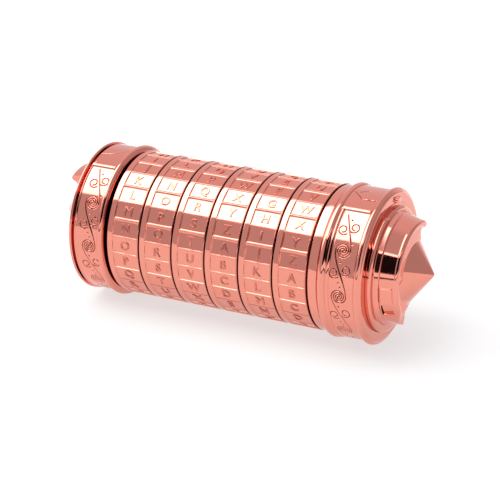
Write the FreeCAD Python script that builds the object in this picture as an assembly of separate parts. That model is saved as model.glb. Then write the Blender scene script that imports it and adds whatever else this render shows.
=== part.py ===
"""Cryptex: a small puzzle vault that is locked by six letter rings.

Everything is drawn about the barrel's axis, X, with x = 0 at the middle of the ring stack.
When it is written out it is moved to stand on its beads, with the origin under its middle.
Angles are turned about X from straight up, positive towards +Y, the back.
"""
import FreeCAD, Part
import math
import os

Vector = FreeCAD.Vector
CENTRE = Vector(0, 0, 0)
AXIS = Vector(1, 0, 0)

# ---- driving dimensions, in millimetres and degrees ----
RING_COUNT = 6
LETTER_COUNT = 26
RING_PITCH = 9.4
RING_GAP = 0.3
RING_RADIUS = 18.8
BEAD_RADIUS = 19.95
SMALL_BEAD_RADIUS = 19.9
BAND_RADIUS = 19.2

TILE_DEPTH = 0.35
TILE_STRIP = 1.5
TILE_RIM = 0.3
RIB_WIDTH = 0.45
FIRST_TILE_ANGLE = -46.8

RING_BORE = 15.0
KEY_RADIUS = 0.42
KEY_CLEARANCE = 0.03
CODE_WALL = 1.2
CODE_FLANGE = 3.0

TUBE_BORE = 9.5
TUBE_RADIUS = 11.5
RUNNING_FIT = 0.05
SLOT_ANGLE = -26.0
SLOT_WIDTH = 2.3
TUBE_FLANGE_RADIUS = 17.0
FLANGE_THICKNESS = 2.9

VAULT_BORE = 8.2
VAULT_FIT = 0.08
PIN_RADIUS = 0.9
PIN_TOP = 13.3
VAULT_FLANGE_RADIUS = 14.5
VAULT_FLOOR = 2.0

SEAT_GAP = 0.02
STUD_RADIUS = 2.7
NUT_RADIUS = 4.6
NUT_THICKNESS = 2.6
NUT_SINK = 0.1
SCREW_TIP_COVER = 0.6
SCREW_RADIUS = 1.0
SCREW_HEAD_RADIUS = 1.9
SCREW_HEAD_HEIGHT = 0.9
SCREW_COUNT = 3

FLANGE_SCREW_CIRCLE = 14.3
VAULT_SCREW_CIRCLE = 12.2

BOSS_RADIUS = 16.4
BOSS_TOP_RADIUS = 15.7
STEP_RADIUS = 14.5
STEP_TOP_RADIUS = 13.95
CROWN_FOOT_RADIUS = 13.9
CROWN_RIM_RADIUS = 13.0
CROWN_LIP_RADIUS = 1.0
CROWN_SPAN = (-155, 27)
PANEL_SPAN = (-107, -89)
POCKET_SPAN = (-126, -110)
PANEL_RISE = 0.35
PANEL_MARGIN = 0.4
LOW_BLOCK_SPAN = (63, 88)
LOW_BLOCK_HEIGHT = 1.2
KEY_TAB_ANGLE = 11
KEY_TAB_WIDTH = 2.8
KEY_TAB_RISE = 0.7
CONE_SLOPE = 1.36

# how far each level of an end stands out from its end face
BOSS_RISE = 1.3
STEP_RISE = 2.7
CROWN_RISE = 6.1
TIP_RISE = 11.7

# ---- stations along the axis that follow from them ----
STACK_END = RING_COUNT * RING_PITCH / 2
RING_FACE = STACK_END - RING_GAP / 2
TILE_PITCH = 360 / LETTER_COUNT
TILE_ARC = math.radians(TILE_PITCH)

RIGHT_CAP_START = STACK_END + 0.3
RIGHT_FLANGE_START = STACK_END + 0.1
RIGHT_WEB_START = RIGHT_FLANGE_START + FLANGE_THICKNESS
RIGHT_WEB_END = RIGHT_WEB_START + 3.0
WEB_BORE = 14.0
RIGHT_BOSS_SEAT = 38.5
RIGHT_END_FACE = 42.7
RIGHT_TIP = RIGHT_END_FACE + TIP_RISE

LEFT_CAP_START = -STACK_END - 0.55
TUBE_END = -STACK_END - 2.8
COLLAR_START = -STACK_END - 0.15
COLLAR_END = TUBE_END + 0.3
LEFT_FLOOR_START = TUBE_END - 0.6
LEFT_WEB_START = LEFT_FLOOR_START - VAULT_FLOOR
LEFT_BOSS_SEAT = -37.2
LEFT_CAP_END = -37.7
LEFT_END_FACE = -39.1
LEFT_TIP = LEFT_END_FACE - TIP_RISE

VAULT_MOUTH = 27.0
SLOT_END = 26.6
STACK_SHIFT = -(RIGHT_TIP + LEFT_TIP) / 2


# ---- shape helpers ----
def point(x, radius):
    """A point of a lathe outline."""
    return Vector(x, radius, 0)


def lathe(start, *steps):
    """Turn a closed outline of (x, radius) points about the axis.

    A step is the next point, or (a point on the way, the next point) for an arc.
    """
    edges = []
    here = start
    for step in steps:
        if isinstance(step[0], tuple):
            way, there = step
            edges.append(Part.Arc(point(*here), point(*way), point(*there)).toShape())
        else:
            there = step
            edges.append(Part.LineSegment(point(*here), point(*there)).toShape())
        here = there
    if here != start:
        edges.append(Part.LineSegment(point(*here), point(*start)).toShape())
    return Part.Face(Part.Wire(edges)).revolve(CENTRE, AXIS, 360)


def on_the_way(foot, crest):
    """The middle of the arc from a bead's foot to its crest, where the arc runs level."""
    run = foot[0] - crest[0]
    rise = crest[1] - foot[1]
    radius = (run * run + rise * rise) / (2 * rise)
    half_turn = math.atan2(abs(run), radius - rise) / 2
    side = math.copysign(1, run)
    return (crest[0] + side * radius * math.sin(half_turn),
            crest[1] - radius * (1 - math.cos(half_turn)))


def bead(foot, crest, far_foot):
    """The two arcs of a bead, as lathe steps that start from its foot."""
    return ((on_the_way(foot, crest), crest), (on_the_way(far_foot, crest), far_foot))


def turned(shape, angle):
    """The shape turned about the axis."""
    copy = shape.copy()
    copy.rotate(CENTRE, AXIS, -angle)
    return copy


def moved(shape, x):
    """The shape moved along the axis."""
    copy = shape.copy()
    copy.translate(Vector(x, 0, 0))
    return copy


def mirrored(shape):
    """The shape seen from the other end of the axis."""
    copy = shape.copy()
    copy.rotate(CENTRE, Vector(0, 0, 1), 180)
    return copy


def block(x_low, x_high, width, low, high, angle=0):
    """A straight-sided block that stands on the axis from radius low to high."""
    shape = Part.makeBox(x_high - x_low, width, high - low, Vector(x_low, -width / 2, low))
    return turned(shape, angle)


def sector(x_low, x_high, radius, from_angle, to_angle):
    """A wedge of a round bar between two angles, less than a full turn."""
    wedge = Part.makeCylinder(radius, x_high - x_low, Vector(x_low, 0, 0), AXIS, to_angle - from_angle)
    # the wedge comes out somewhere round the axis: find its middle and turn that into place
    wedge_middle = wedge.CenterOfMass
    middle_now = math.degrees(math.atan2(wedge_middle.y, wedge_middle.z))
    return turned(wedge, (from_angle + to_angle) / 2 - middle_now)


def spread(shape, count, first_angle=0):
    """Copies of the shape, evenly spread round the axis."""
    return [turned(shape, first_angle + index * 360 / count) for index in range(count)]


def joined(shapes):
    """One solid of several that touch."""
    return shapes[0].multiFuse(shapes[1:]).removeSplitter()


def cut_all(shape, tools):
    """The shape less all the tools."""
    return shape.cut(Part.makeCompound(tools))


# ---- fasteners ----
def screw(x_head, x_end, grow=0.0):
    """A countersunk screw along the axis, its flat head at x_head; grow gives its hole."""
    side = math.copysign(1, x_end - x_head)
    neck = x_head + side * SCREW_HEAD_HEIGHT
    shape = lathe((x_head, 0), (x_head, SCREW_HEAD_RADIUS + grow), (neck, SCREW_RADIUS + grow),
                  (x_end + side * grow, SCREW_RADIUS + grow), (x_end + side * grow, 0))
    return shape


def screw_circle(x_head, x_end, circle, grow=0.0):
    """The screws of a flange, each with a driver slot unless it is a hole."""
    shape = screw(x_head, x_end, grow)
    if grow == 0:
        side = math.copysign(1, x_end - x_head)
        slot_floor = x_head + side * 0.45
        low, high = sorted((x_head - side, slot_floor))
        shape = shape.cut(Part.makeBox(high - low, 0.5, 4, Vector(low, -0.25, -2)))
    shape.translate(Vector(0, 0, circle))
    return spread(shape, SCREW_COUNT, 60)


def nut(x_low, x_high):
    """A hexagon nut that fits the finial's stud."""
    corners = [Vector(x_low, NUT_RADIUS * math.sin(math.radians(60 * index)),
                      NUT_RADIUS * math.cos(math.radians(60 * index))) for index in range(7)]
    blank = Part.Face(Part.makePolygon(corners)).extrude(Vector(x_high - x_low, 0, 0))
    hole = Part.makeCylinder(STUD_RADIUS + SEAT_GAP, x_high - x_low, Vector(x_low, 0, 0), AXIS)
    return blank.cut(hole)


# ---- rings ----
def letter_ring():
    """The outer ring about its left face at x = 0: strip, 26 recessed tiles and a thin rim."""
    width = RING_PITCH - RING_GAP
    tile_end = width - TILE_RIM
    edge = 0.15
    floor = RING_RADIUS - TILE_DEPTH
    body = lathe((0, RING_BORE), (0, RING_RADIUS - edge), (edge, RING_RADIUS), (TILE_STRIP, RING_RADIUS),
                 (TILE_STRIP, floor - 1), (tile_end, floor - 1), (tile_end, RING_RADIUS),
                 (width - edge, RING_RADIUS), (width, RING_RADIUS - edge), (width, RING_BORE))
    corner = floor / math.cos(TILE_ARC / 2)
    first_corner = math.radians(FIRST_TILE_ANGLE + TILE_PITCH / 2)
    turns = [first_corner + index * TILE_ARC for index in range(LETTER_COUNT + 1)]
    corners = [Vector(TILE_STRIP, corner * math.sin(turn), corner * math.cos(turn)) for turn in turns]
    tiles = Part.Face(Part.makePolygon(corners)).extrude(Vector(tile_end - TILE_STRIP, 0, 0))
    tiles = tiles.cut(Part.makeCylinder(floor - 2, width, CENTRE, AXIS))
    rib = block(TILE_STRIP, tile_end, RIB_WIDTH, floor - 1, RING_RADIUS - 0.01)
    ribs = spread(rib, LETTER_COUNT, FIRST_TILE_ANGLE + TILE_PITCH / 2)
    ring = joined([body, tiles] + ribs)
    groove = Part.makeCylinder(KEY_RADIUS + KEY_CLEARANCE, width, Vector(0, 0, RING_BORE), AXIS)
    return cut_all(ring, spread(groove, LETTER_COUNT, FIRST_TILE_ANGLE + TILE_PITCH / 2))


def code_ring():
    """The inner ring about its left face at x = 0: a gated flange, a channel and two keys."""
    width = RING_PITCH - RING_GAP
    outer = RING_BORE - SEAT_GAP
    channel = outer - CODE_WALL
    bore = TUBE_RADIUS + RUNNING_FIT
    body = lathe((0, bore), (0, outer), (width, outer), (width, channel), (CODE_FLANGE, channel),
                 (CODE_FLANGE, bore))
    key = Part.makeCylinder(KEY_RADIUS, width, Vector(0, 0, RING_BORE), AXIS)
    key = key.common(Part.makeCylinder(RING_BORE + KEY_RADIUS, width, CENTRE, AXIS))
    keys = spread(key, 2, FIRST_TILE_ANGLE + TILE_PITCH / 2)
    ring = joined([body] + keys)
    return ring.cut(block(-1, CODE_FLANGE + 1, SLOT_WIDTH, bore - 1, channel, SLOT_ANGLE))


# ---- barrel ----
def barrel_tube():
    """The slotted tube and its flange."""
    tube = lathe((TUBE_END, TUBE_BORE), (TUBE_END, TUBE_RADIUS), (RIGHT_FLANGE_START, TUBE_RADIUS),
                 (RIGHT_FLANGE_START, TUBE_FLANGE_RADIUS), (RIGHT_WEB_START, TUBE_FLANGE_RADIUS),
                 (RIGHT_WEB_START, TUBE_BORE))
    slot = block(TUBE_END - 1, SLOT_END, SLOT_WIDTH, TUBE_BORE - 1, TUBE_RADIUS + 1, SLOT_ANGLE)
    holes = screw_circle(RIGHT_FLANGE_START, RIGHT_WEB_END - SCREW_TIP_COVER, FLANGE_SCREW_CIRCLE, SEAT_GAP)
    return cut_all(tube, [slot] + holes)


def retaining_collar():
    """The collar on the tube's left end, with the pins' gap and two notches for its spanner."""
    collar = lathe((COLLAR_END, TUBE_RADIUS + SEAT_GAP), (COLLAR_END, 14.4), (COLLAR_END + 0.4, 14.8),
                   (COLLAR_START, 14.8), (COLLAR_START, TUBE_RADIUS + SEAT_GAP))
    gap = block(COLLAR_END - 1, COLLAR_START + 1, SLOT_WIDTH, TUBE_RADIUS - 1, PIN_TOP + 0.4, SLOT_ANGLE)
    notches = [block(COLLAR_END - 1, COLLAR_END + 1.2, 2.4, 13.2, 16, SLOT_ANGLE + turn)
               for turn in (90, -90)]
    return cut_all(collar, [gap] + notches)


def flange_screws():
    """The screws that hold the barrel's flange to the right cap."""
    screw_end = RIGHT_WEB_END - SCREW_TIP_COVER
    return Part.makeCompound(screw_circle(RIGHT_FLANGE_START, screw_end, FLANGE_SCREW_CIRCLE))


def right_cap():
    """The fixed cap: strip, small bead, engraved band's ground and outer bead, with its inner web."""
    strip = 18.65
    bead_foot = (31.0, 18.55)
    step_top = (33.5, 19.45)
    bead_end = (42.2, 19.5)
    shell = lathe((RIGHT_CAP_START, TUBE_FLANGE_RADIUS + SEAT_GAP), (RIGHT_CAP_START, strip - 0.15),
                  (RIGHT_CAP_START + 0.15, strip), (30.7, strip), (30.85, 18.4), bead_foot,
                  *bead(bead_foot, (32.2, SMALL_BEAD_RADIUS), (33.3, 19.35)), step_top, (34.2, 19.1),
                  (34.35, BAND_RADIUS), (40.8, BAND_RADIUS), (40.9, 19.45),
                  *bead((40.9, 19.45), (41.6, BEAD_RADIUS), bead_end), (42.55, 18.8),
                  (RIGHT_END_FACE, 18.45), (RIGHT_END_FACE, BOSS_RADIUS + SEAT_GAP),
                  (RIGHT_BOSS_SEAT, BOSS_RADIUS + SEAT_GAP),
                  (RIGHT_BOSS_SEAT, WEB_BORE), (RIGHT_WEB_END, WEB_BORE),
                  (RIGHT_WEB_END, STUD_RADIUS + SEAT_GAP), (RIGHT_WEB_START, STUD_RADIUS + SEAT_GAP),
                  (RIGHT_WEB_START, TUBE_FLANGE_RADIUS + SEAT_GAP))
    key = block(RIGHT_END_FACE - 0.5, RIGHT_END_FACE + KEY_TAB_RISE, KEY_TAB_WIDTH, BOSS_RADIUS + 0.1, 17.9,
                KEY_TAB_ANGLE)
    holes = screw_circle(RIGHT_FLANGE_START, RIGHT_WEB_END - SCREW_TIP_COVER, FLANGE_SCREW_CIRCLE, SEAT_GAP)
    return cut_all(joined([shell, key]), holes)


# ---- ends, drawn for the right and turned round for the left ----
def cone_radius(rise):
    """The cone's radius at a rise above the end face."""
    return CONE_SLOPE * (TIP_RISE - rise)


def crown_blank(face, grow=0.0):
    """A full round of the crown: a wall that leans in to a rounded lip, and a flat top round the cone."""
    foot = face + STEP_RISE - 0.3
    rim = face + CROWN_RISE
    rim_radius = CROWN_RIM_RADIUS + grow
    lip = ((rim + CROWN_LIP_RADIUS, rim_radius - CROWN_LIP_RADIUS),
           (rim, rim_radius - 2 * CROWN_LIP_RADIUS))
    return lathe((foot, cone_radius(STEP_RISE - 0.3) + SEAT_GAP), (foot, CROWN_FOOT_RADIUS + grow),
                 (rim, rim_radius), lip, (rim, cone_radius(CROWN_RISE) + SEAT_GAP))


def end_boss(face, seat):
    """A stepped disc with the crown standing on one side of it."""
    boss_top = face + BOSS_RISE
    step_top = face + STEP_RISE
    disc = lathe((seat, STUD_RADIUS + SEAT_GAP), (seat, BOSS_RADIUS), (boss_top - 0.5, BOSS_RADIUS - 0.1),
                 (boss_top - 0.1, BOSS_TOP_RADIUS + 0.2), (boss_top, BOSS_TOP_RADIUS),
                 (boss_top, STEP_RADIUS), (step_top - 0.2, STEP_RADIUS - 0.15), (step_top, STEP_TOP_RADIUS),
                 (step_top, STUD_RADIUS + SEAT_GAP))
    side = sector(step_top - 0.5, face + TIP_RISE, BOSS_RADIUS, *CROWN_SPAN)
    return joined([disc, crown_blank(face).common(side)])


def cone_finial(face, stud_end):
    """The cone that stands on the boss, with its stud."""
    foot = face + STEP_RISE + SEAT_GAP
    tip = face + TIP_RISE
    cone = lathe((foot, 0), (foot, cone_radius(STEP_RISE + SEAT_GAP)), (tip, 0))
    stud = Part.makeCylinder(STUD_RADIUS, foot - stud_end + 0.5, Vector(stud_end, 0, 0), AXIS)
    return joined([cone, stud])


def right_end_boss():
    """The right boss, with a raised panel and a sunk pocket on the lower side of its crown."""
    low = RIGHT_END_FACE + STEP_RISE + PANEL_MARGIN
    high = RIGHT_END_FACE + CROWN_RISE - PANEL_MARGIN
    panel = crown_blank(RIGHT_END_FACE, PANEL_RISE).common(sector(low, high, BOSS_RADIUS, *PANEL_SPAN))
    pocket = sector(low, high, BOSS_RADIUS, *POCKET_SPAN).cut(crown_blank(RIGHT_END_FACE, -PANEL_RISE))
    pocket = pocket.cut(Part.makeCylinder(CROWN_RIM_RADIUS - 1, high - low, Vector(low, 0, 0), AXIS))
    return joined([end_boss(RIGHT_END_FACE, RIGHT_BOSS_SEAT), panel]).cut(pocket)


def right_cone_finial():
    """The right cone."""
    return cone_finial(RIGHT_END_FACE, VAULT_MOUTH + 0.6)


def right_finial_nut():
    """The nut that clamps the right cone, boss and cap together."""
    return nut(RIGHT_WEB_START - NUT_THICKNESS, RIGHT_WEB_START)


def left_end_boss():
    """The left boss: the right one turned round, with one low block in place of the panel."""
    foot = -LEFT_END_FACE + STEP_RISE
    ledge = lathe((foot - 0.3, cone_radius(STEP_RISE - 0.3) + SEAT_GAP), (foot - 0.3, CROWN_FOOT_RADIUS),
                  (foot + LOW_BLOCK_HEIGHT, CROWN_FOOT_RADIUS),
                  (foot + LOW_BLOCK_HEIGHT, cone_radius(STEP_RISE + LOW_BLOCK_HEIGHT) + SEAT_GAP))
    low_block = ledge.common(sector(foot - 0.3, foot + LOW_BLOCK_HEIGHT, BOSS_RADIUS, *LOW_BLOCK_SPAN))
    return mirrored(joined([end_boss(-LEFT_END_FACE, -LEFT_BOSS_SEAT), low_block]))


def left_cone_finial():
    """The left cone."""
    return mirrored(cone_finial(-LEFT_END_FACE, -LEFT_WEB_START + NUT_SINK))


def left_finial_nut():
    """The nut on the left cone's stud, sunk in the left cap's web."""
    return nut(LEFT_WEB_START - NUT_SINK - NUT_THICKNESS, LEFT_WEB_START - NUT_SINK)


# ---- vault ----
def pin_stations():
    """Where the pins stand: in the middle of each code ring's channel."""
    middle = (CODE_FLANGE + RING_PITCH) / 2
    return [-STACK_END + RING_GAP / 2 + index * RING_PITCH + middle for index in range(RING_COUNT)]


def pin(x, low):
    """One locking pin with a rounded top, standing on the slot's line."""
    dome = 0.4
    shank = Part.makeCylinder(PIN_RADIUS, PIN_TOP - dome - low, Vector(x, 0, low), Vector(0, 0, 1))
    top = Part.makeCone(PIN_RADIUS, PIN_RADIUS - dome, dome, Vector(x, 0, PIN_TOP - dome), Vector(0, 0, 1))
    return turned(shank.fuse(top).removeSplitter(), SLOT_ANGLE)


def vault_pins():
    """The six locking pins."""
    return Part.makeCompound([pin(x, VAULT_BORE + 0.1) for x in pin_stations()])


def vault_tube():
    """The tube that holds the secret, open to the right, with its floor and flange."""
    outer = TUBE_BORE - VAULT_FIT
    tube = lathe((LEFT_WEB_START, 0), (LEFT_WEB_START, VAULT_FLANGE_RADIUS),
                 (LEFT_FLOOR_START, VAULT_FLANGE_RADIUS), (LEFT_FLOOR_START, outer),
                 (VAULT_MOUTH - 0.5, outer), (VAULT_MOUTH, outer - 0.4), (VAULT_MOUTH, VAULT_BORE),
                 (LEFT_FLOOR_START, VAULT_BORE), (LEFT_FLOOR_START, 0))
    seats = [turned(Part.makeCylinder(PIN_RADIUS + SEAT_GAP, 3, Vector(x, 0, VAULT_BORE + 0.08),
                                      Vector(0, 0, 1)), SLOT_ANGLE) for x in pin_stations()]
    holes = screw_circle(LEFT_FLOOR_START, LEFT_WEB_START - 2.6, VAULT_SCREW_CIRCLE, SEAT_GAP)
    return cut_all(tube, seats + holes)


def vault_screws():
    """The screws that hold the vault's flange to the left cap."""
    return Part.makeCompound(screw_circle(LEFT_FLOOR_START, LEFT_WEB_START - 2.6, VAULT_SCREW_CIRCLE))


def left_cap():
    """The cap that pulls out: bead, engraved band's ground and a narrow lip, with its inner web."""
    hood = 15.6
    bead_foot = (-29.1, 19.3)
    shell = lathe((LEFT_CAP_START, hood), (LEFT_CAP_START, 18.3), (-29.0, 18.95), bead_foot,
                  *bead(bead_foot, (-30.0, BEAD_RADIUS), (-30.6, 19.4)), (-30.7, BAND_RADIUS),
                  (-37.0, BAND_RADIUS), (-37.1, 19.4), (LEFT_CAP_END + 0.2, 19.4), (LEFT_CAP_END, 19.2),
                  (LEFT_CAP_END, BOSS_RADIUS + SEAT_GAP), (LEFT_BOSS_SEAT, BOSS_RADIUS + SEAT_GAP),
                  (LEFT_BOSS_SEAT, STUD_RADIUS + SEAT_GAP), (LEFT_WEB_START, STUD_RADIUS + SEAT_GAP),
                  (LEFT_WEB_START, VAULT_FLANGE_RADIUS + SEAT_GAP),
                  (LEFT_FLOOR_START, VAULT_FLANGE_RADIUS + SEAT_GAP), (LEFT_FLOOR_START, hood))
    nut_room = Part.makeCylinder(NUT_RADIUS + 0.1, NUT_THICKNESS + NUT_SINK,
                                 Vector(LEFT_WEB_START - NUT_THICKNESS - NUT_SINK, 0, 0), AXIS)
    holes = screw_circle(LEFT_FLOOR_START, LEFT_WEB_START - 2.6, VAULT_SCREW_CIRCLE, SEAT_GAP)
    return cut_all(shell, [nut_room] + holes)


def left_end_ring():
    """The thin outer ring behind the parting groove."""
    groove_floor = 17.7
    lip_start = LEFT_CAP_END - 0.65
    return lathe((LEFT_CAP_END, BOSS_RADIUS + SEAT_GAP), (LEFT_CAP_END, groove_floor),
                 (lip_start, groove_floor), (lip_start, 19.35), (lip_start - 0.2, 19.6),
                 (LEFT_END_FACE + 0.3, 19.6), (LEFT_END_FACE, 19.25),
                 (LEFT_END_FACE, BOSS_RADIUS + SEAT_GAP))


# ---- write every piece where it belongs ----
def write(name, shape):
    """Write one node, standing on its beads."""
    placed = shape.copy()
    placed.translate(Vector(STACK_SHIFT, 0, BEAD_RADIUS))
    if not placed.isValid():
        raise ValueError(name + " is not a valid shape")
    placed.exportStep("parts/" + name + ".step")
    box = placed.BoundBox
    print("%-20s solids %2d  volume %8.1f  x %6.2f %6.2f  z %6.2f %6.2f" % (
        name, len(placed.Solids), placed.Volume, box.XMin, box.XMax, box.ZMin, box.ZMax))


def main():
    """Build and write all the nodes."""
    os.makedirs("parts", exist_ok=True)
    outer = letter_ring()
    inner = code_ring()
    for index in range(RING_COUNT):
        left_face = -STACK_END + RING_GAP / 2 + index * RING_PITCH
        write("letter_ring_%d" % (index + 1), moved(outer, left_face))
        write("code_ring_%d" % (index + 1), moved(inner, left_face))
    for make in (barrel_tube, retaining_collar, flange_screws, right_cap, right_end_boss,
                 right_cone_finial, right_finial_nut, vault_tube, vault_pins, vault_screws,
                 left_cap, left_end_ring, left_end_boss, left_cone_finial, left_finial_nut):
        write(make.__name__, make())


main()
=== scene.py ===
"""Looks of the cryptex: letter rings, engraved caps, crowned bosses and cones around the CAD frame.

Shapes are worked out in millimetres about the barrel's axis: x along it from the middle of the ring
stack, radius out from it, and angles about it in degrees from straight up, positive to the back.
"""
import math

import bmesh
import bpy
import numpy as np
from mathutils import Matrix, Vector


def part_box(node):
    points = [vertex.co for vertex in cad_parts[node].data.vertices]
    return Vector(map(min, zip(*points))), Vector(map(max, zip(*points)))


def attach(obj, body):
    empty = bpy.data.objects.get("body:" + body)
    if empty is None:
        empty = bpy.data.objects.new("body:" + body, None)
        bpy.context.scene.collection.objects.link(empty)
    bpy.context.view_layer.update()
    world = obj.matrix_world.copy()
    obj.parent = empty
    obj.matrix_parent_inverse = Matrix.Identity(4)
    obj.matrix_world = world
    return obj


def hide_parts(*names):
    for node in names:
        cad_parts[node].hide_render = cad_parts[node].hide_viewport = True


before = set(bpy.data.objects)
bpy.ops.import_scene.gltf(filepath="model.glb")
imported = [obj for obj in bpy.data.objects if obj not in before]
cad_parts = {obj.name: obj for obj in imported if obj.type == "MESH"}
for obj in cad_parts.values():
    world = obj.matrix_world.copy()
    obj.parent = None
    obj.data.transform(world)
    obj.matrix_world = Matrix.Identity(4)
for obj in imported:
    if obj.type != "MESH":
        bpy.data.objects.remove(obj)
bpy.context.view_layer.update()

MM = 0.001

# ---- what the frame says ----
first_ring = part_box("letter_ring_1")
last_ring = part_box("letter_ring_6")
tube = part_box("barrel_tube")
RING_COUNT = 6
STACK_X = (first_ring[0].x + last_ring[1].x) / 2
AXIS_Z = (tube[0].z + tube[1].z) / 2
ORIGIN = np.array((STACK_X, 0, AXIS_Z))
RING_WIDTH = (first_ring[1].x - first_ring[0].x) / MM
RING_PITCH = (last_ring[0].x - first_ring[0].x) / (RING_COUNT - 1) / MM
RING_RADIUS = (last_ring[1].z - last_ring[0].z) / 2 / MM
BEAD_RADIUS = (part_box("right_cap")[1].z - AXIS_Z) / MM


def station(node, end):
    """Where a node starts (end 0) or stops (end 1) along the axis, from the middle of the stack."""
    return (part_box(node)[end].x - STACK_X) / MM


# ---- driving sizes, millimetres and degrees ----
LETTER_COUNT = 26
FIRST_ROW = "LORYHX"
FIRST_TILE_ANGLE = -46.8
TILE_PITCH = 360 / LETTER_COUNT
TILE_STRIP = 1.5
TILE_RIM = 0.25
TILE_FLOOR = 18.45
TILE_CROWN = 0.05
TILE_LEAN = 0.0035
RIB_HALF = 0.06
RIB_WALL = 0.15
END_WALL = 0.25
RING_BORE = 15.0
RING_CHAMFER = 0.24
LETTER_HEIGHT = 2.3
CAPITAL_SHARE = 0.70
LETTER_SLAB = 0.02
LETTER_THINNED = -0.01
LETTER_ROUND = 0.1
LETTER_LIFT = 0.05
# how much painted shade darkens the raised letters
LETTER_PAINTED_SHADE = 0.6

BAND_RADIUS = 19.2
GROOVE_DEPTH = 0.2
GROOVE_CORE = 0.05
GROOVE_EDGE = 0.17
DOT_CORE = 0.1
DOT_EDGE = 0.28
SPIRAL_RADIUS = 1.9
SPIRAL_PITCH = 34.8
SPIRAL_COUNT = 8
RIB_ANGLE = -26.5
FAR_RIB_ANGLE = 34.0
RIB_RISE = 0.4
SCROLL_STOP = (2.8, 3.6)
EDGE_CUT = 0.85

STUD_BORE = 2.72
BOSS_RADIUS = 16.4
BOSS_RISE = 1.3
BOSS_CUT = 0.75
STEP_RADIUS = 14.5
STEP_RISE = 2.7
CROWN_FOOT_RADIUS = 13.9
CROWN_RIM_RADIUS = 13.0
CROWN_TOP_RADIUS = 10.5
CROWN_DIP = 0.6
CROWN_FLARE = 0.5
CROWN_RISE = 6.1
LIP_RISE = 1.05
CROWN_SPAN = (-155, 27)
CONE_SLOPE = 1.36
CONE_GAP = 0.02
TIP_BLUNT = 0.3

TAB_RISE = 0.7
RIGHT_FACE = station("right_cap", 1) - TAB_RISE
LEFT_FACE = station("left_end_ring", 0)
TIP_RISE = station("right_cone_finial", 1) - RIGHT_FACE


# ---- mesh helpers ----
def arc(start, way, end, count=10):
    """Points after start on the circle through three (x, radius) points, up to end."""
    ax, ay = start
    bx, by = way
    cx, cy = end
    twice = 2 * (ax * (by - cy) + bx * (cy - ay) + cx * (ay - by))
    a2, b2, c2 = ax * ax + ay * ay, bx * bx + by * by, cx * cx + cy * cy
    mx = (a2 * (by - cy) + b2 * (cy - ay) + c2 * (ay - by)) / twice
    my = (a2 * (cx - bx) + b2 * (ax - cx) + c2 * (bx - ax)) / twice
    radius = math.hypot(ax - mx, ay - my)
    first, middle, last = (math.atan2(y - my, x - mx) for x, y in (start, way, end))
    turn = (last - first) % math.tau
    if (middle - first) % math.tau > turn:
        turn -= math.tau
    angles = [first + turn * step / count for step in range(1, count + 1)]
    return [(mx + radius * math.cos(a), my + radius * math.sin(a)) for a in angles]


def quarter(foot, crest):
    """The middle of the arc from a foot to a crest where the arc runs level."""
    run, rise = foot[0] - crest[0], crest[1] - foot[1]
    radius = (run * run + rise * rise) / (2 * rise)
    half = math.atan2(abs(run), radius - rise) / 2
    back = math.copysign(radius * math.sin(half), run)
    return (crest[0] + back, crest[1] - radius * (1 - math.cos(half)))


def bead(foot, crest, far_foot, count=12):
    """Points of a bead after its foot: up to its crest and down to its far foot."""
    near_side = arc(foot, quarter(foot, crest), crest, count)
    return near_side + arc(crest, quarter(far_foot, crest), far_foot, count)


def rounded(points, radius, closed=True, least_turn=25, steps=4):
    """The outline with its sharp corners rounded to a radius, or less where a side is short."""
    result = []
    count = len(points)
    for index, here in enumerate(points):
        if not closed and index in (0, count - 1):
            result.append(here)
            continue
        before = np.array(points[index - 1]) - here
        after = np.array(points[(index + 1) % count]) - here
        long_before, long_after = np.linalg.norm(before), np.linalg.norm(after)
        before, after = before / long_before, after / long_after
        turn = math.pi - math.acos(float(np.clip(before @ after, -1, 1)))
        if turn < math.radians(least_turn):
            result.append(tuple(here))
            continue
        cut = min(radius * math.tan(turn / 2), 0.42 * long_before, 0.42 * long_after)
        start, end = here + before * cut, here + after * cut
        for step in range(steps + 1):
            share = step / steps
            bend = (1 - share) ** 2 * start + 2 * share * (1 - share) * np.array(here) + share ** 2 * end
            result.append(tuple(bend))
    return result


def around(x, radius, degrees):
    """Points at stations, radii and angles, which broadcast together."""
    turn = np.radians(degrees)
    x, radius, turn = np.broadcast_arrays(np.asarray(x, float), radius, turn)
    return np.stack([x, radius * np.sin(turn), radius * np.cos(turn)], axis=-1)


def loft(rings):
    """Points and faces through closed rings of points.

    A ring may have a whole multiple of its neighbour's points.
    """
    points = np.concatenate(rings)
    starts = np.cumsum([0] + [len(ring) for ring in rings])
    faces = []
    count = len(rings)
    for index in range(count):
        other = (index + 1) % count
        here, there = len(rings[index]), len(rings[other])
        if here == there:
            step = np.arange(here)
            following = (step + 1) % here
            quads = np.stack([starts[index] + step, starts[index] + following,
                              starts[other] + following, starts[other] + step], axis=-1)
            faces.extend(quads.tolist())
            continue
        coarse, fine = (index, other) if here < there else (other, index)
        ratio = len(rings[fine]) // len(rings[coarse])
        for step in range(len(rings[coarse])):
            following = (step + 1) % len(rings[coarse])
            far = [starts[fine] + (step * ratio + k) % len(rings[fine]) for k in range(ratio, -1, -1)]
            faces.append([starts[coarse] + step, starts[coarse] + following] + far)
    return points, faces


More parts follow.
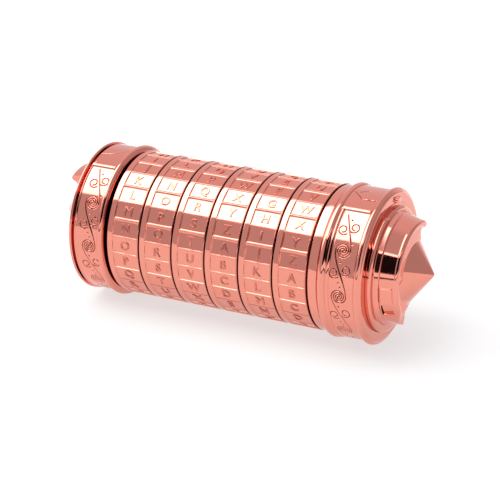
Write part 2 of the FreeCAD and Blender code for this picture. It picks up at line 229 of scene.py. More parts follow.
def piece(name, points, faces, material, body, replaced, painted_relief_shade=None):
    """A finished piece from points in millimetres: closed, smooth, riding on its body.

    The relief values say how much each point belongs to a groove, a gap or a letter: how much painted shade
    the plating lays there.
    """
    mesh = bpy.data.meshes.new(name)
    mesh.from_pydata((points * MM + ORIGIN).tolist(), [], faces)
    if painted_relief_shade is not None:
        attribute = mesh.attributes.new("painted_relief_shade", "FLOAT", "POINT")
        attribute.data.foreach_set("value", np.asarray(painted_relief_shade, float))
    shape = bmesh.new()
    shape.from_mesh(mesh)
    bmesh.ops.remove_doubles(shape, verts=shape.verts, dist=1e-7)
    bmesh.ops.recalc_face_normals(shape, faces=shape.faces)
    shape.to_mesh(mesh)
    shape.free()
    mesh.shade_smooth()
    mesh.set_sharp_from_angle(angle=math.radians(50))
    made = bpy.data.objects.new(name, mesh)
    bpy.context.scene.collection.objects.link(made)
    made.data.materials.append(material)
    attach(made, body)
    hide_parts(replaced)
    return made


def smooth_step(low, high, value):
    """0 below low, 1 above high, and a smooth rise between; low may be above high."""
    share = np.clip((np.asarray(value, float) - low) / (high - low), 0, 1)
    return share * share * (3 - 2 * share)


# ---- materials ----
def node(tree, kind, **inputs):
    """A shader node with some of its inputs set."""
    made = tree.nodes.new(kind)
    for key, value in inputs.items():
        made.inputs[key.replace("_", " ")].default_value = value
    return made


def ramp(tree, factor, *stops):
    """A colour ramp fed by factor, with (place, colour) stops."""
    made = tree.nodes.new("ShaderNodeValToRGB")
    elements = made.color_ramp.elements
    while len(elements) < len(stops):
        elements.new(1)
    for element, (place, colour) in zip(elements, stops):
        element.position = place
        element.color = (*colour, 1)
    tree.links.new(factor, made.inputs["Fac"])
    return made


def multiplied(tree, first, second):
    """The product of two colours."""
    made = tree.nodes.new("ShaderNodeMix")
    made.data_type = "RGBA"
    made.blend_type = "MULTIPLY"
    made.inputs[0].default_value = 1
    tree.links.new(first, made.inputs[6])
    tree.links.new(second, made.inputs[7])
    return made.outputs[2]


COPPER = (0.84, 0.31, 0.235)
# painted shade: colour multiplied into the plating where ambient occlusion finds a hollow
RECESS_PAINTED_SHADE = (0.70, 0.48, 0.43)
# painted shade: colour multiplied into the plating at grooves, ring gaps and letters
RELIEF_PAINTED_SHADE = (0.38, 0.24, 0.22)


def plated(name, colour, painted_shade, polish, grain=(1, 1, 1), edge_highlight_strength=0.5):
    """Polished plating: colour with slow variation, darker in recesses as painted shade, darker at grooves,
    gaps and letters as painted shade, and brighter on sharp edges as a painted highlight.
    """
    material = bpy.data.materials.new(name)
    material.use_nodes = True
    tree = material.node_tree
    link = tree.links.new
    shader = tree.nodes["Principled BSDF"]
    shader.inputs["Metallic"].default_value = 1
    place = tree.nodes.new("ShaderNodeTexCoord")
    stretch = node(tree, "ShaderNodeMapping", Scale=grain)
    link(place.outputs["Object"], stretch.inputs["Vector"])
    cloud = node(tree, "ShaderNodeTexNoise", Scale=120.0, Detail=4.0)
    link(stretch.outputs[0], cloud.inputs["Vector"])
    hue = ramp(tree, cloud.outputs["Fac"], (0.3, colour), (0.75, tuple(0.955 * c for c in colour)))
    # painted shade: the colour is darkened towards the shade colour in hollows found by ambient occlusion
    corner = node(tree, "ShaderNodeAmbientOcclusion", Distance=0.0006)
    corner.samples = 6
    painted_recess_shade = ramp(tree, corner.outputs["AO"], (0.25, painted_shade), (0.85, (1, 1, 1)))
    shaded = multiplied(tree, hue.outputs["Color"], painted_recess_shade.outputs["Color"])
    # painted shade from each piece's per-point relief values: grooves, ring gaps and letters
    painted_relief_shade = tree.nodes.new("ShaderNodeAttribute")
    painted_relief_shade.attribute_name = "painted_relief_shade"
    painted_relief_tint = ramp(tree, painted_relief_shade.outputs["Fac"], (0, (1, 1, 1)), (1, RELIEF_PAINTED_SHADE))
    shaded = multiplied(tree, shaded, painted_relief_tint.outputs["Color"])
    # painted highlight: sharp convex edges, found by pointiness, get a slightly lighter copper
    edge = tree.nodes.new("ShaderNodeNewGeometry")
    sharp_edge_mask = ramp(tree, edge.outputs["Pointiness"], (0.5, (0, 0, 0)), (0.56, (edge_highlight_strength, edge_highlight_strength, edge_highlight_strength)))
    painted_edge_highlight = tree.nodes.new("ShaderNodeMix")
    painted_edge_highlight.data_type = "RGBA"
    link(sharp_edge_mask.outputs["Color"], painted_edge_highlight.inputs[0])
    link(shaded, painted_edge_highlight.inputs[6])
    painted_edge_highlight.inputs[7].default_value = (*(min(1, 1.08 * c) for c in colour), 1)
    link(painted_edge_highlight.outputs[2], shader.inputs["Base Color"])
    haze = node(tree, "ShaderNodeTexNoise", Scale=900.0, Detail=3.0)
    link(stretch.outputs[0], haze.inputs["Vector"])
    spread = tree.nodes.new("ShaderNodeMapRange")
    spread.inputs["To Min"].default_value = polish[0]
    spread.inputs["To Max"].default_value = polish[1]
    link(haze.outputs["Fac"], spread.inputs["Value"])
    link(spread.outputs[0], shader.inputs["Roughness"])
    bump = node(tree, "ShaderNodeBump", Strength=0.05, Distance=0.00003)
    link(haze.outputs["Fac"], bump.inputs["Height"])
    link(bump.outputs["Normal"], shader.inputs["Normal"])
    return material


plating = plated("rose_copper_plating", COPPER, RECESS_PAINTED_SHADE, (0.04, 0.10))
satin = plated("satin_copper", (0.80, 0.31, 0.24), RECESS_PAINTED_SHADE, (0.22, 0.34), grain=(0.15, 4, 4), edge_highlight_strength=0.2)
steel = plated("plain_steel", (0.62, 0.61, 0.60), (0.5, 0.5, 0.5), (0.18, 0.32), edge_highlight_strength=0.3)


def moulded(name, colour):
    """Matt moulded plastic with a fine grain."""
    material = bpy.data.materials.new(name)
    material.use_nodes = True
    tree = material.node_tree
    shader = tree.nodes["Principled BSDF"]
    place = tree.nodes.new("ShaderNodeTexCoord")
    grain = node(tree, "ShaderNodeTexNoise", Scale=2500.0, Detail=2.0)
    tree.links.new(place.outputs["Object"], grain.inputs["Vector"])
    hue = ramp(tree, grain.outputs["Fac"], (0.3, colour), (0.7, tuple(1.5 * c for c in colour)))
    tree.links.new(hue.outputs["Color"], shader.inputs["Base Color"])
    shader.inputs["Roughness"].default_value = 0.55
    bump = node(tree, "ShaderNodeBump", Strength=0.2, Distance=0.00005)
    tree.links.new(grain.outputs["Fac"], bump.inputs["Height"])
    tree.links.new(bump.outputs["Normal"], shader.inputs["Normal"])
    return material


nylon = moulded("black_nylon", (0.02, 0.02, 0.022))


# ---- letter rings ----
def letter_shape(letter):
    """Points and faces of a raised letter, centred, in millimetres, x to its right and y up."""
    words = bpy.data.curves.new("letter", "FONT")
    words.body = letter
    words.size = LETTER_HEIGHT / CAPITAL_SHARE
    words.align_x = "CENTER"
    words.resolution_u = 5
    words.extrude = LETTER_SLAB
    words.bevel_depth = LETTER_ROUND
    words.bevel_resolution = 2
    words.offset = LETTER_THINNED
    holder = bpy.data.objects.new("letter", words)
    mesh = bpy.data.meshes.new_from_object(holder)
    points = np.array([vertex.co for vertex in mesh.vertices])
    faces = [list(face.vertices) for face in mesh.polygons]
    bpy.data.objects.remove(holder)
    bpy.data.curves.remove(words)
    bpy.data.meshes.remove(mesh)
    points[:, :2] -= (points[:, :2].max(0) + points[:, :2].min(0)) / 2
    return points, faces


ALPHABET = [letter_shape(chr(ord("A") + index)) for index in range(LETTER_COUNT)]
FLOOR_STEPS = 8
STRIP_LAND = 0.02
WALL_STEPS = np.linspace(0, 1, 7)
WALL_SHAPE = 0.5 - 0.5 * np.cos(np.pi * WALL_STEPS)


def recess_line(length, first_land, last_land, wall, floor_steps):
    """Places across a recess and how deep each is (0 to 1), lands and sloping walls included."""
    floor_start, floor_end = first_land + wall, length - last_land - wall
    floor = np.linspace(floor_start, floor_end, floor_steps + 1)[1:-1]
    places = np.concatenate([[0, first_land / 2], first_land + wall * WALL_STEPS, floor,
                             floor_end + wall * WALL_STEPS])
    depths = np.concatenate([[0, 0], WALL_SHAPE, np.ones(len(floor)), WALL_SHAPE[::-1]])
    return places, depths


def ring_side():
    """(x, radius, painted shade) from a ring's bore up its side and round its soft edge."""
    foot = RING_RADIUS - RING_CHAMFER
    side = [(0.0, RING_BORE, 1), (0.0, RING_RADIUS - 2.0, 1), (0.0, foot - 0.05, 1)]
    # painted shade: full on the side facing the gap between rings, fading out round the soft edge
    for degrees, painted_shade in ((0, 1), (22, 1), (45, 0.9), (68, 0.4), (90, 0)):
        turn = math.radians(degrees)
        side.append((RING_CHAMFER * (1 - math.cos(turn)), foot + RING_CHAMFER * math.sin(turn), painted_shade))
    return side


def letter_ring(index, random):
    """One ring: a smooth strip, 26 recessed tiles with crowned floors, ribs, rim and raised letters."""
    half_tile = math.radians(TILE_PITCH) / 2 * RING_RADIUS
    across, across_depth = recess_line(2 * half_tile, RIB_HALF, RIB_HALF, RIB_WALL, FLOOR_STEPS)
    along, along_depth = recess_line(RING_WIDTH - TILE_STRIP, STRIP_LAND, TILE_RIM, END_WALL, FLOOR_STEPS)
    along = along + TILE_STRIP
    tile_angles = (across - half_tile) / RING_RADIUS
    columns, depths = [], []
    lean = random.uniform(-TILE_LEAN, TILE_LEAN, (LETTER_COUNT, 2))
    for tile in range(LETTER_COUNT):
        columns.append(FIRST_TILE_ANGLE + tile * TILE_PITCH + np.degrees(tile_angles))
        depths.append(across_depth)
    angles = np.concatenate(columns)
    across_all = np.concatenate(depths)
    local = np.tile(tile_angles, LETTER_COUNT)
    tile_of = np.repeat(np.arange(LETTER_COUNT), len(tile_angles))
    edge_share = 1 - (local / tile_angles[-1]) ** 2
    rings = []
    painted_relief_shade = []
    side = ring_side()
    strip = [(TILE_STRIP * share, RING_RADIUS, 0) for share in (0.4, 0.8)]
    for x, radius, painted_shade in side + strip:
        rings.append(around(x, radius, angles))
        painted_relief_shade.append(np.full(len(angles), painted_shade, float))
    middle = (along[0] + along[-1]) / 2
    for x, depth in zip(along, along_depth):
        length_share = 1 - ((x - middle) / (along[-1] - middle)) ** 2
        flat = TILE_FLOOR / np.cos(local) + TILE_CROWN * edge_share * length_share
        flat = flat + lean[tile_of, 0] * (x - middle) + lean[tile_of, 1] * local * RING_RADIUS
        rings.append(around(x, RING_RADIUS - depth * across_all * (RING_RADIUS - flat), angles))
        painted_relief_shade.append(np.zeros(len(angles)))
    for x, radius, painted_shade in side[::-1]:
        rings.append(around(RING_WIDTH - x, radius, angles))
        painted_relief_shade.append(np.full(len(angles), painted_shade, float))
    points, faces = loft(rings)
    start = -RING_COUNT * RING_PITCH / 2 + (RING_PITCH - RING_WIDTH) / 2 + index * RING_PITCH
    first_letter = ord(FIRST_ROW[index]) - ord("A")
    all_points, all_faces, used = [points], list(faces), len(points)
    for row in range(LETTER_COUNT):
        shape, sides = ALPHABET[(first_letter + row) % LETTER_COUNT]
        turn = math.radians(FIRST_TILE_ANGLE - row * TILE_PITCH)
        up = np.array((0, math.cos(turn), -math.sin(turn)))
        out = np.array((0, math.sin(turn), math.cos(turn)))
        base = np.array((middle, 0, 0)) + out * (TILE_FLOOR + TILE_CROWN + LETTER_LIFT)
        right = np.array((1, 0, 0))
        all_points.append(base + shape[:, :1] * right + shape[:, 1:2] * up + shape[:, 2:] * out)
        all_faces.extend([[corner + used for corner in side] for side in sides])
        used += len(shape)
        # painted shade on the raised letters
        painted_relief_shade.append(np.full(len(shape), LETTER_PAINTED_SHADE))
    points = np.concatenate(all_points) + (start, 0, 0)
    number = index + 1
    return piece("letter_ring_look_%d" % number, points, all_faces, plating, "ring_%d" % number,
                 "letter_ring_%d" % number, np.concatenate(painted_relief_shade))


random = np.random.default_rng(7)
for ring_index in range(RING_COUNT):
    letter_ring(ring_index, random)


# ---- engraved bands ----
# strokes are points in millimetres: along the axis, and down round the band from a spiral's middle
BAND_STEP = math.radians(SPIRAL_PITCH) * BAND_RADIUS


def curve_between(start, start_pull, end, end_pull, count=130):
    """A smooth curve from start to end that leaves and arrives along the two pulls."""
    t = np.linspace(0, 1, count)[:, None]
    start, end, start_pull, end_pull = (np.array(v, float) for v in (start, end, start_pull, end_pull))
    return ((2 * t ** 3 - 3 * t ** 2 + 1) * start + (t ** 3 - 2 * t ** 2 + t) * start_pull
            + (3 * t ** 2 - 2 * t ** 3) * end + (t ** 3 - t ** 2) * end_pull)


def spiral():
    """A spiral of two arms that start at its two sides and wind in to the middle."""
    turns = np.linspace(0, 3.3 * math.pi, 150)
    radius = SPIRAL_RADIUS * (1 - 0.96 * turns / turns[-1])
    arm = np.stack([radius * np.cos(turns), radius * np.sin(turns)], axis=-1)
    return np.concatenate([arm, -arm])


def curl(centre, side):
    """A small curl: from the stem under it, up its outer side, over the top and in."""
    share = np.linspace(0, 1, 90)
    turns = math.radians(40) + share * math.radians(420)
    radius = 0.75 + 0.8 * (1 - share) ** 2
    return np.array(centre) + np.stack([side * radius * np.cos(turns), radius * np.sin(turns)], axis=-1)


def lead_in():
    """The scroll between the rib and the first spiral, and its dots."""
    stem = curve_between((-1.5, -9.5), (1.5, 3.6), (SPIRAL_RADIUS, 0), (0, 6.0))
    return [stem, curl((-1.35, -5.3), 1), curl((1.45, -6.2), -1)], [(0.05, -8.1), (1.9, -1.9)]


def between_spirals():
    """The scroll from one spiral to the next, and its dots."""
    stem = curve_between((-SPIRAL_RADIUS, 0), (0, 0.75 * BAND_STEP), (SPIRAL_RADIUS, BAND_STEP),
                         (0, 1.1 * BAND_STEP))
    curls = [curl((-1.5, 5.6), 1), curl((1.5, 4.6), -1)]
    return [spiral(), stem] + curls, [(-0.2, 2.9), (-0.2, 8.0), (0.3, 9.1)]


def scrollwork():
    """All the points of the scroll down from the first spiral, and all the dots."""
    strokes, dots = lead_in()
    for index in range(SPIRAL_COUNT):
        more_strokes, more_dots = between_spirals()
        drop = np.array((0, index * BAND_STEP))
        strokes += [stroke + drop for stroke in more_strokes]
        dots += [tuple(dot + drop) for dot in np.array(more_dots)]
    return np.concatenate(strokes), np.array(dots)


def panel_lines(corners):
    """Points along straight lines between (x, degrees) corners, as strokes from angle zero down."""
    places = [(x, -math.radians(degrees) * BAND_RADIUS) for x, degrees in corners]
    return np.concatenate([curve_between(start, (0, 0), end, (0, 0), 60)
                           for start, end in zip(places, places[1:])])


def closeness(across, down, points):
    """The distance from each place of a band, across by down, to the nearest of the points."""
    nearest = np.full((len(across), len(down)), 9.0)
    reach = 1.0
    for first in range(0, len(down), 24):
        columns = slice(first, first + 24)
        low, high = down[columns].min() - reach, down[columns].max() + reach
        near = points[(points[:, 1] > low) & (points[:, 1] < high)]
        if len(near):
            side = across[:, None, None] - near[:, 0]
            rise = down[columns][None, :, None] - near[:, 1]
            nearest[:, columns] = np.sqrt((side * side + rise * rise).min(-1))
    return nearest


def groove(gap):
    """How deep a groove is cut (0 to 1) at a distance from its middle."""
    return 1 - smooth_step(GROOVE_CORE, GROOVE_EDGE, gap)


def rib_share(past):
    """How much of a rib's height stands at some degrees past its middle, towards the panel if positive."""
    return smooth_step(-2.6, -1.1, past) * (1 - smooth_step(0.9, 1.4, past))


BLOCK_ROOT = 0.3
BLOCK_EDGE = 0.12


def with_blocks(points, faces, blocks):
    """The points and faces with softened blocks added, each (station, width, radii, rise, degrees)."""
    for x, width, (low, high), rise, degrees in blocks:
        used = len(points)
        turn = math.radians(degrees)
        out = np.array((0, math.sin(turn), math.cos(turn)))
        along = np.array((0, math.cos(turn), -math.sin(turn)))
        corners = []
        for depth, inset in ((-BLOCK_ROOT, 0), (rise - BLOCK_EDGE, 0), (rise, BLOCK_EDGE)):
            half = width / 2 - inset
            outline = rounded([(-half, low + inset), (half, low + inset),
                               (half, high - inset), (-half, high - inset)], 0.2)
            corners += [np.array((x + depth, 0, 0)) + across * along + radius * out
                        for across, radius in outline]
        count = len(corners) // 3
        sides = [[level * count + step, level * count + (step + 1) % count,
                  (level + 1) * count + (step + 1) % count, (level + 1) * count + step]
                 for level in range(2) for step in range(count)]
        ends = [list(range(count)), list(range(2 * count, 3 * count))]
        points = np.concatenate([points, corners])
        faces = faces + [[corner + used for corner in side] for side in sides + ends]
    return points, faces


COARSE = 360
FINE = 1440
ROW_STEP = 0.085


def engraved_cap(name, before, after, edge, first_spiral, marks, blocks, body, replaced):
    """A cap with an engraved band between the outlines before and after it.

    The edge gives the height of the fine moulding beside the band at each station. It stops at the
    ribs, so that the plain panel between them is wider than the band.
    """
    coarse_angles = np.arange(COARSE) * 360 / COARSE
    fine_angles = 90 + np.arange(FINE) * 360 / FINE
    angles = (fine_angles + 180) % 360 - 180
    start, end = before[-1][0], after[0][0]
    rows = np.linspace(start, end, int(abs(end - start) / ROW_STEP) + 1)[1:-1]
    strokes, dots = scrollwork()
    spiral_x, spiral_angle = first_spiral
    below = (RIB_ANGLE - angles) % 360
    down = np.radians(below + spiral_angle - RIB_ANGLE) * BAND_RADIUS
    order = np.argsort(down)
    depth = np.zeros((len(rows), FINE))
    depth[:, order] = np.maximum(groove(closeness(rows - spiral_x, down[order], strokes)),
                                 1 - smooth_step(DOT_CORE, DOT_EDGE,
                                                 closeness(rows - spiral_x, down[order], dots)))
    panel = smooth_step(RIB_ANGLE - 1, RIB_ANGLE, angles)
    panel = panel * (1 - smooth_step(FAR_RIB_ANGLE, FAR_RIB_ANGLE + 1, angles))
    near, clear = SCROLL_STOP
    plain = smooth_step(RIB_ANGLE - clear, RIB_ANGLE - near, angles)
    plain = plain * (1 - smooth_step(FAR_RIB_ANGLE + near, FAR_RIB_ANGLE + clear, angles))
    depth = depth * (1 - plain)
    marked = np.radians(-angles) * BAND_RADIUS
    order = np.argsort(marked)
    lines = np.concatenate([panel_lines(corners) for corners in marks])
    depth[:, order] = np.maximum(depth[:, order], groove(closeness(rows, marked[order], lines)))
    margin = smooth_step(0, 0.3, np.minimum(np.abs(rows - start), np.abs(rows - end)))
    rib = np.maximum(rib_share(angles - RIB_ANGLE), rib_share(FAR_RIB_ANGLE - angles))
    rings = [around(x, radius, coarse_angles + 90) for x, radius in before]
    painted_relief_shade = [np.zeros(COARSE)] * len(before)
    for row, x in enumerate(rows):
        radius = BAND_RADIUS + edge(x) * (1 - EDGE_CUT * np.maximum(panel, rib))
        radius = radius + (RIB_RISE * rib - GROOVE_DEPTH * depth[row]) * margin[row]
        rings.append(around(x, radius, fine_angles))
        # painted shade in the engraved grooves and dots, as strong as the groove is deep
        painted_relief_shade.append(depth[row] * margin[row])
    rings += [around(x, radius, coarse_angles + 90) for x, radius in after]
    painted_relief_shade += [np.zeros(COARSE)] * len(after)
    points, faces = loft(rings)
    points, faces = with_blocks(points, faces, blocks)
    painted_relief_shade = np.concatenate(painted_relief_shade + [np.zeros(len(points) - sum(len(part) for part in painted_relief_shade))])
    return piece(name, points, faces, plating, body, replaced, painted_relief_shade)


def right_cap():
    """The fixed cap."""
    start = station("right_cap", 0)
    face = RIGHT_FACE
    bore = 17.02
    foot = (31.05, 18.6)
    before = rounded([(34.2, STUD_BORE), (31.2, STUD_BORE), (31.2, bore), (start, bore), (start, 18.65),
                      (30.75, 18.65), (30.9, 18.4), foot], 0.12, closed=False)
    before += bead(foot, (32.2, 19.75), (32.95, 19.45))
    lip = (42.2, 19.5)
    after = [(40.85, 19.15)] + bead((40.95, 19.45), (41.6, BEAD_RADIUS), lip)
    after += [(42.24, 19.3)] + arc((42.24, 19.3), (42.5, 19.05), (face, 18.45), 8)
    after += rounded([(face, 18.45), (face, BOSS_RADIUS + CONE_GAP), (38.5, BOSS_RADIUS + CONE_GAP),
                      (38.5, 14.0), (34.2, 14.0)], 0.2, closed=False)[1:]

    def step_edge(x):
        bead_side = 0.25 * (1 - smooth_step(32.9, 33.4, x))
        crest = 0.25 * (1 - smooth_step(33.6, 34.15, x)) * smooth_step(33.25, 33.45, x)
        return bead_side + crest - 0.1 * (1 - smooth_step(0.0, 0.22, abs(x - 34.2)))

    marks = [[(33.2, -4), (36.8, -14.5), (40.2, -14)], [(34.9, -5), (35.6, -3), (36.8, -1)]]
    return engraved_cap("right_cap_look", before, after, step_edge, (37.0, -60.5), marks,
                        [(face, 2.8, (BOSS_RADIUS + 0.1, 17.9), TAB_RISE, 11)], "barrel", "right_cap")


def left_cap():
    """The cap that pulls out with the vault."""
    start = station("left_cap", 1)
    end = station("left_cap", 0)
    hood = 15.6
    foot = (-29.15, 19.3)
    before = rounded([(-33.6, STUD_BORE), (-33.6, 14.5), (-31.6, 14.5), (-31.6, hood), (start, hood),
                      (start, 18.3), (start - 0.25, 18.95), foot], 0.12, closed=False)
    before += bead(foot, (-30.0, BEAD_RADIUS), (-30.5, 19.35))
    after = rounded([(end + 0.05, 19.15), (end, 18.95), (end, BOSS_RADIUS + CONE_GAP),
                     (-37.2, BOSS_RADIUS + CONE_GAP), (-37.2, STUD_BORE)], 0.1, closed=False)

    def bead_edge(x):
        return 0.27 * (1 - smooth_step(0.0, 0.36, abs(x + 37.35)))

    marks = [[(-30.9, -2), (-34.7, -11), (-37.5, -13)]]
    return engraved_cap("left_cap_look", before, after, bead_edge, (-33.3, -58.7), marks, [], "vault",
                        "left_cap")


right_cap()
left_cap()


# ---- end ring ----
def plain_lathe(name, outline, body, replaced, count=480):
    """A plain turned piece of polished plating."""
    angles = np.arange(count) * 360 / count
    points, faces = loft([around(x, radius, angles) for x, radius in outline])
    return piece(name, points, faces, plating, body, replaced)


def left_end_ring():
    """The thin outer ring behind the parting groove."""
    parting = station("left_end_ring", 1)
    outline = [(parting, BOSS_RADIUS + CONE_GAP), (parting, 17.7), (-38.35, 17.7), (-38.35, 19.3),
               (-38.6, 19.6), (-38.8, 19.6), (LEFT_FACE, 19.2), (LEFT_FACE, BOSS_RADIUS + CONE_GAP)]
    return plain_lathe("left_end_ring_look", rounded(outline, 0.14, least_turn=20, steps=5), "vault",
                       "left_end_ring")


left_end_ring()


# ---- bosses and cones ----
def span_share(angles, span, soft):
    """1 inside a span of angles and 0 outside, with a soft edge inside it, in degrees."""
    return smooth_step(span[0], span[0] + soft, angles) * (1 - smooth_step(span[1] - soft, span[1], angles))


def span_angles(edges):
    """Angles round a boss, close together near the edges of its crown and its features."""
    angles = list(np.arange(-180, 180, 1.0))
    for edge in edges:
        angles += list(np.arange(edge - 3, edge + 3, 0.15))
    return np.unique(np.round((np.array(angles) + 180) % 360 - 180, 3))


def cone_radius(rise):
    """The cone's radius at a rise above the end face."""
    return CONE_SLOPE * (TIP_RISE - rise)


def crown_outline():
    """(rise, radius) points of the crown from its foot, over its lip and in to the cone."""
    rim = (CROWN_RISE, CROWN_RIM_RADIUS)
    back = (CROWN_RISE + 0.2, CROWN_RIM_RADIUS - 1.95)
    crest = (CROWN_RISE + LIP_RISE, CROWN_RIM_RADIUS - 0.9)
    climb, lean = rim[0] - STEP_RISE, rim[1] - CROWN_FOOT_RADIUS
    wall = [(STEP_RISE + climb * share, CROWN_FOOT_RADIUS + lean * share)
            for share in np.linspace(0, 1, 29)]
    top = [(CROWN_RISE + 0.02, 10.6), (CROWN_RISE - 0.02, 10.2)]
    top += [(CROWN_RISE + 0.2 * share, 10.2 - 2.7 * share) for share in np.linspace(0.1, 1, 8)]
    return wall + arc(rim, crest, back, 14) + top


def end_boss(name, face, seat, sign, features, body, replaced):
    """A stepped disc with the crown standing on one side of it.

    Each feature is (span, low, high, offset): a part of the crown's wall between two rises that stands
    out, or is sunk, by its offset.
    """
    span = CROWN_SPAN if sign > 0 else (-CROWN_SPAN[1], -CROWN_SPAN[0])
    angles = span_angles([edge for feature in [(span,), *features] for edge in feature[0]])
    share = span_share(angles, span, 1.1)
    low_side = angles * sign
    # the crown's flat top dips, and its lower end flares out and loses its lip
    trough = CROWN_DIP * smooth_step(-84, -100, low_side) * (1 - smooth_step(-132, -146, low_side))
    heel = smooth_step(-122, -144, low_side)
    root = sign * (seat - face)
    disc = rounded([(root, STUD_BORE), (root, BOSS_RADIUS), (0.03, BOSS_RADIUS), (0.06, BOSS_RADIUS),
                    (BOSS_RISE - 0.35, BOSS_RADIUS), (BOSS_RISE, BOSS_RADIUS - 0.6),
                    (BOSS_RISE, STEP_RADIUS + 0.05), (STEP_RISE - 0.15, STEP_RADIUS - 0.15),
                    (STEP_RISE, CROWN_FOOT_RADIUS + 0.05)], 0.3, closed=False, steps=6)
    # the foot is cut back on the upper side, down to the end face
    back = smooth_step(-22, -17, low_side) * (1 - smooth_step(70, 75, low_side)) * BOSS_CUT
    rings = []
    for rise, radius in disc:
        on_foot = rise > 0.05 and radius > BOSS_RADIUS - BOSS_CUT
        rings.append(around(face + sign * rise, radius - back * on_foot, angles))
    for rise, radius in crown_outline():
        reach = np.full(len(angles), radius)
        for feature_span, low, high, offset in features:
            on_wall = smooth_step(low - 0.12, low, rise) * (1 - smooth_step(high, high + 0.12, rise))
            on_wall = on_wall * (radius > CROWN_RIM_RADIUS)
            reach = reach + offset * on_wall * span_share(angles, feature_span, 0.9)
        flare = CROWN_FLARE * smooth_step(STEP_RISE, CROWN_RISE, rise) * (radius > CROWN_TOP_RADIUS)
        reach = reach + flare * heel
        height = rise - trough * (radius < CROWN_TOP_RADIUS) - heel * max(0, rise - CROWN_RISE - 0.15)
        height = STEP_RISE + (height - STEP_RISE) * share
        reach = np.maximum(reach, cone_radius(height) + CONE_GAP)
        rings.append(around(face + sign * height, reach, angles))
    rings.append(around(face + sign * STEP_RISE, cone_radius(STEP_RISE) + CONE_GAP, angles))
    rings.append(around(face + sign * STEP_RISE, STUD_BORE, angles))
    points, faces = loft(rings)
    return piece(name, points, faces, plating, body, replaced)


def cone(name, face, sign, body, replaced):
    """A cone with a tiny rounded tip."""
    angles = np.arange(0, 360, 1.0)
    foot = STEP_RISE + CONE_GAP
    rings = []
    for share in np.linspace(0, 1, 60) ** 1.3:
        radius = cone_radius(foot) * share
        soft_radius = np.sqrt(radius ** 2 + TIP_BLUNT ** 2) - TIP_BLUNT * (1 - share)
        rise = TIP_RISE - soft_radius / CONE_SLOPE
        rings.append(around(face + sign * min(rise, TIP_RISE), radius, angles))
    rings.append(around(face + sign * foot, cone_radius(foot), angles))
    rings.append(around(face + sign * foot, 0.0, angles))
    points, faces = loft(rings)
    return piece(name, points, faces, plating, body, replaced)


end_boss("right_end_boss_look", RIGHT_FACE, 38.5, 1,
         [((-107, -89), 3.1, 5.7, 0.5), ((-126, -110), 3.1, 5.6, -0.7)], "barrel", "right_end_boss")
end_boss("left_end_boss_look", LEFT_FACE, -37.2, -1, [], "vault", "left_end_boss")
cone("right_cone_look", RIGHT_FACE, 1, "barrel", "right_cone_finial")
cone("left_cone_look", LEFT_FACE, -1, "vault", "left_cone_finial")

# ---- finishes of the CAD pieces that stay ----
KEPT = {"barrel_tube": satin, "vault_tube": satin, "retaining_collar": satin, "flange_screws": steel,
        "vault_screws": steel, "right_finial_nut": steel, "left_finial_nut": steel, "vault_pins": steel}
KEPT.update({"code_ring_%d" % (index + 1): nylon for index in range(RING_COUNT)})
for kept, finish in KEPT.items():
    for material_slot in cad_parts[kept].material_slots:
        material_slot.material = finish


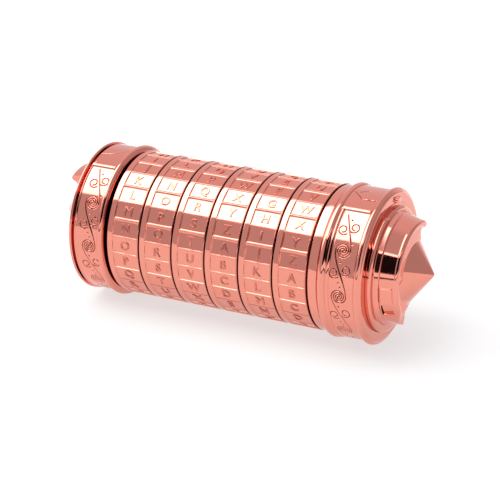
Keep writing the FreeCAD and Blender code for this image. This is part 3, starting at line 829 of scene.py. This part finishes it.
# ---- studio ----
def studio_world():
    """A light tent: bright strip overhead, softer walls, and the dark opening for the camera."""
    world = bpy.data.worlds.new("light_tent")
    bpy.context.scene.world = world
    world.use_nodes = True
    tree = world.node_tree
    link = tree.links.new
    tree.nodes.clear()
    place = tree.nodes.new("ShaderNodeTexCoord")
    split = tree.nodes.new("ShaderNodeSeparateXYZ")
    link(place.outputs["Generated"], split.inputs[0])

    def compute(operation, first, second=None):
        made = tree.nodes.new("ShaderNodeMath")
        made.operation = operation
        for socket, value in zip(made.inputs, (first, second)):
            if isinstance(value, (int, float)):
                socket.default_value = value
            elif value is not None:
                link(value, socket)
        return made.outputs[0]

    def between(value, low, high, soft):
        rise = tree.nodes.new("ShaderNodeMapRange")
        rise.interpolation_type = "SMOOTHSTEP"
        link(value, rise.inputs["Value"])
        rise.inputs["From Min"].default_value = low - soft
        rise.inputs["From Max"].default_value = low + soft
        fall = tree.nodes.new("ShaderNodeMapRange")
        fall.interpolation_type = "SMOOTHSTEP"
        link(value, fall.inputs["Value"])
        fall.inputs["From Min"].default_value = high - soft
        fall.inputs["From Max"].default_value = high + soft
        fall.inputs["To Min"].default_value = 1
        fall.inputs["To Max"].default_value = 0
        return compute("MULTIPLY", rise.outputs[0], fall.outputs[0])

    def mix(factor, first, second):
        made = tree.nodes.new("ShaderNodeMix")
        made.data_type = "RGBA"
        link(factor, made.inputs[0])
        for socket, value in ((6, first), (7, second)):
            if isinstance(value, tuple):
                made.inputs[socket].default_value = (*value, 1)
            else:
                link(value, made.inputs[socket])
        return made.outputs[2]

    x, y, z = split.outputs
    front = compute("MULTIPLY", y, -1)
    over = compute("MULTIPLY", compute("ARCTAN2", z, front), 180 / math.pi)
    round_about = compute("MULTIPLY", compute("ARCTAN2", x, front), 180 / math.pi)
    height = compute("MULTIPLY", compute("ARCSINE", z), 180 / math.pi)
    strip = compute("MULTIPLY", between(over, 51, 104, 1.5), between(x, -3, 0.0, 0.03))
    facing = between(round_about, -1, 62, 1.5)
    opening = compute("MULTIPLY", facing, between(height, 9, 46, 1))
    slats = compute("MULTIPLY", facing, between(height, 46, 50.5, 0.5))
    sill = compute("MULTIPLY", facing, between(height, 1, 8, 0.5))
    wall = mix(between(over, 104, 200, 10), (0.64, 0.61, 0.64), (0.86, 0.80, 0.84))
    wall = mix(between(x, 0.3, 3, 0.15), wall, (0.52, 0.51, 0.54))
    lit = mix(strip, wall, (3.9, 3.9, 3.9))
    lit = mix(slats, lit, (3.0, 3.0, 3.0))
    lit = mix(sill, lit, (1.3, 1.3, 1.3))
    seen = mix(opening, lit, (0.012, 0.008, 0.012))
    seen = mix(compute("MULTIPLY", facing, between(height, -3, 0.3, 0.3)), seen, (0.05, 0.03, 0.04))
    below = mix(between(height, -95, -3, 0.3), seen, (0.95, 0.94, 0.93))
    plain = tree.nodes.new("ShaderNodeLightPath")
    shown = mix(plain.outputs["Is Camera Ray"], below, (0.97, 0.97, 0.97))
    glow = tree.nodes.new("ShaderNodeBackground")
    link(shown, glow.inputs["Color"])
    out = tree.nodes.new("ShaderNodeOutputWorld")
    link(glow.outputs[0], out.inputs["Surface"])


def studio_floor():
    """A plain pale floor."""
    size = 0.5
    mesh = bpy.data.meshes.new("floor")
    corners = [(-size, -size, 0), (size, -size, 0), (size, size, 0), (-size, size, 0)]
    mesh.from_pydata(corners, [], [(0, 1, 2, 3)])
    floor = bpy.data.objects.new("floor", mesh)
    bpy.context.scene.collection.objects.link(floor)
    material = bpy.data.materials.new("pale_floor")
    material.use_nodes = True
    shader = material.node_tree.nodes["Principled BSDF"]
    shader.inputs["Base Color"].default_value = (0.30, 0.30, 0.30, 1)
    shader.inputs["Roughness"].default_value = 0.6
    shader.inputs["Specular IOR Level"].default_value = 0.2
    shader.inputs["Emission Color"].default_value = (1, 1, 1, 1)
    shader.inputs["Emission Strength"].default_value = 0.64
    mesh.materials.append(material)


def soft_light():
    """One broad soft lamp over the object."""
    lamp = bpy.data.lights.new("soft_top", "AREA")
    lamp.shape = "RECTANGLE"
    lamp.size = 0.8
    lamp.size_y = 0.5
    lamp.energy = 1.5
    holder = bpy.data.objects.new("soft_top", lamp)
    holder.location = (-0.4, -0.15, 0.9)
    holder.rotation_euler = (Vector((0, 0, 0)) - holder.location).to_track_quat("-Z", "Y").to_euler()
    bpy.context.scene.collection.objects.link(holder)


def camera():
    """The camera: azimuth 26.4, elevation 22.3, about half a metre away with a long lens."""
    azimuth, elevation = math.radians(26.44), math.radians(22.26)
    distance, side, rise = 51.2, 0.347, -0.316
    back = Vector((math.sin(azimuth) * math.cos(elevation), -math.cos(azimuth) * math.cos(elevation),
                   math.sin(elevation)))
    right = Vector((math.cos(azimuth), math.sin(azimuth), 0))
    up = back.cross(right)
    data = bpy.data.cameras.new("camera")
    data.sensor_width = 36
    data.lens = 1861.5 / 500 * 36
    data.clip_start = 0.01
    holder = bpy.data.objects.new("camera", data)
    pitch = RING_PITCH * MM
    holder.location = Vector(ORIGIN) + (back * distance + right * side + up * rise) * pitch
    holder.rotation_euler = (-back).to_track_quat("-Z", "Y").to_euler()
    bpy.context.scene.collection.objects.link(holder)
    bpy.context.scene.camera = holder


studio_world()
studio_floor()
soft_light()
camera()
bpy.context.scene.view_settings.view_transform = "Standard"
